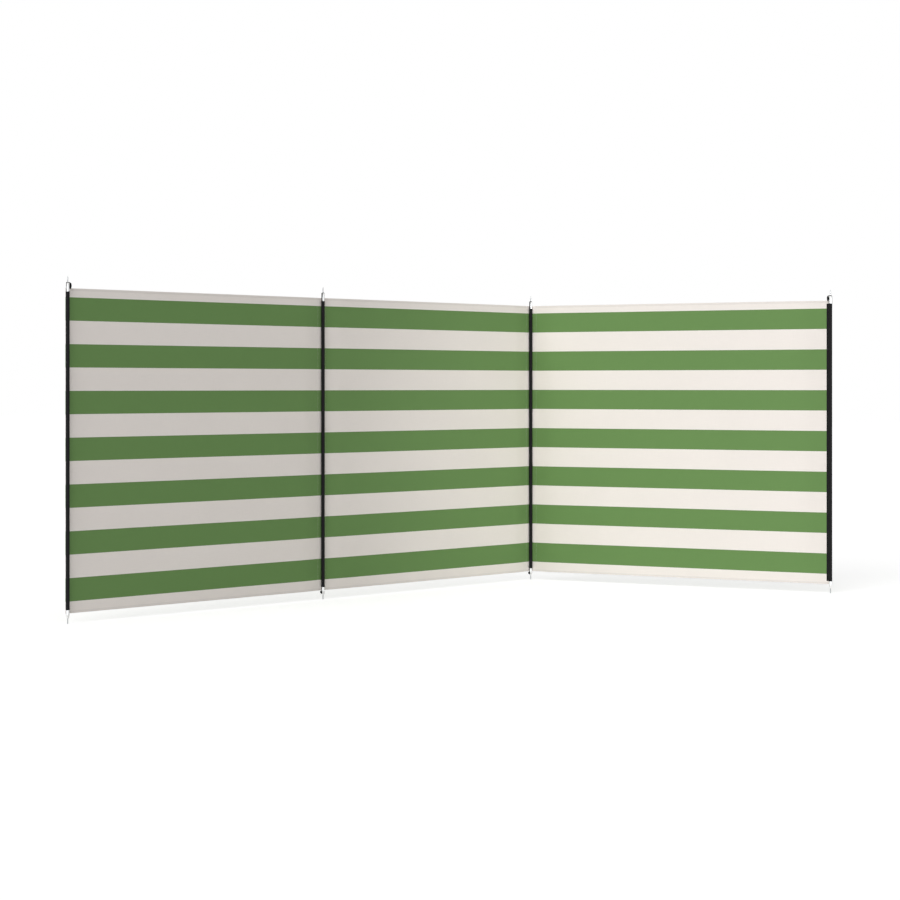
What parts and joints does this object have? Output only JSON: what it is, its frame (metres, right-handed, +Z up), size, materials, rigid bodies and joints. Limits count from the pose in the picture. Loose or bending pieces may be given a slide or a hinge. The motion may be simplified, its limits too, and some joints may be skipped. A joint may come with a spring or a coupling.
{
  "type": "beach windbreak",
  "caption": "Free-standing beach windbreak: striped cloth bays held upright by slim steel poles in black sleeves, set with one corner, each bay folding about its pole.",
  "frame": {"origin": "centre of the flat underside of the corner pole's foot cap, on that pole's axis", "axes": "+Z up; the middle and left bays run from the corner along -X; the right bay runs along -Y; their fronts face -Y and -X"},
  "size_m": [3.589, 1.804, 1.5007],
  "materials": {
    "cloth": "plain woven, printed with green stripes",
    "hem": "folded and stitched white cloth",
    "webbing": "matte black webbing",
    "elastic": "matte black braided elastic",
    "cap": "moulded off-white",
    "tube": "white-coated steel tube",
    "steel_pin": "zinc-plated"
  },
  "bodies": {
    "middle_bay": {"middle_bay_cloth": "cloth", "middle_bay_top_hem": "hem", "middle_bay_bottom_hem": "hem", "inner_pole": "tube", "inner_top_cap": "cap", "inner_top_pin": "steel_pin", "inner_foot_cap": "cap", "inner_ground_spike": "steel_pin", "inner_sleeve": "webbing", "inner_top_loop": "elastic", "inner_foot_loop": "elastic", "corner_pole": "tube", "corner_top_cap": "cap", "corner_top_pin": "steel_pin", "corner_foot_cap": "cap", "corner_ground_spike": "steel_pin", "corner_sleeve": "webbing", "corner_top_loop": "elastic", "corner_foot_loop": "elastic"},
    "left_bay": {"left_bay_cloth": "cloth", "left_bay_top_hem": "hem", "left_bay_bottom_hem": "hem", "left_end_pole": "tube", "left_end_top_cap": "cap", "left_end_top_pin": "steel_pin", "left_end_foot_cap": "cap", "left_end_ground_spike": "steel_pin", "left_end_sleeve": "webbing", "left_end_top_loop": "elastic"},
    "right_bay": {"right_bay_cloth": "cloth", "right_bay_top_hem": "hem", "right_bay_bottom_hem": "hem", "right_end_pole": "tube", "right_end_top_cap": "cap", "right_end_top_pin": "steel_pin", "right_end_foot_cap": "cap", "right_end_ground_spike": "steel_pin", "right_end_sleeve": "webbing", "right_end_top_loop": "elastic"}
  },
  "joints": [
    {"name": "left_bay_fold", "type": "hinge", "parent": "middle_bay", "child": "left_bay", "pos_m": [-1.785, 0, 0], "axis": [0, 0, 1], "range_deg": [-90, 165]},
    {"name": "right_bay_fold", "type": "hinge", "parent": "middle_bay", "child": "right_bay", "pos_m": [0, 0, 0], "axis": [0, 0, 1], "range_deg": [0, 255]}
  ]
}
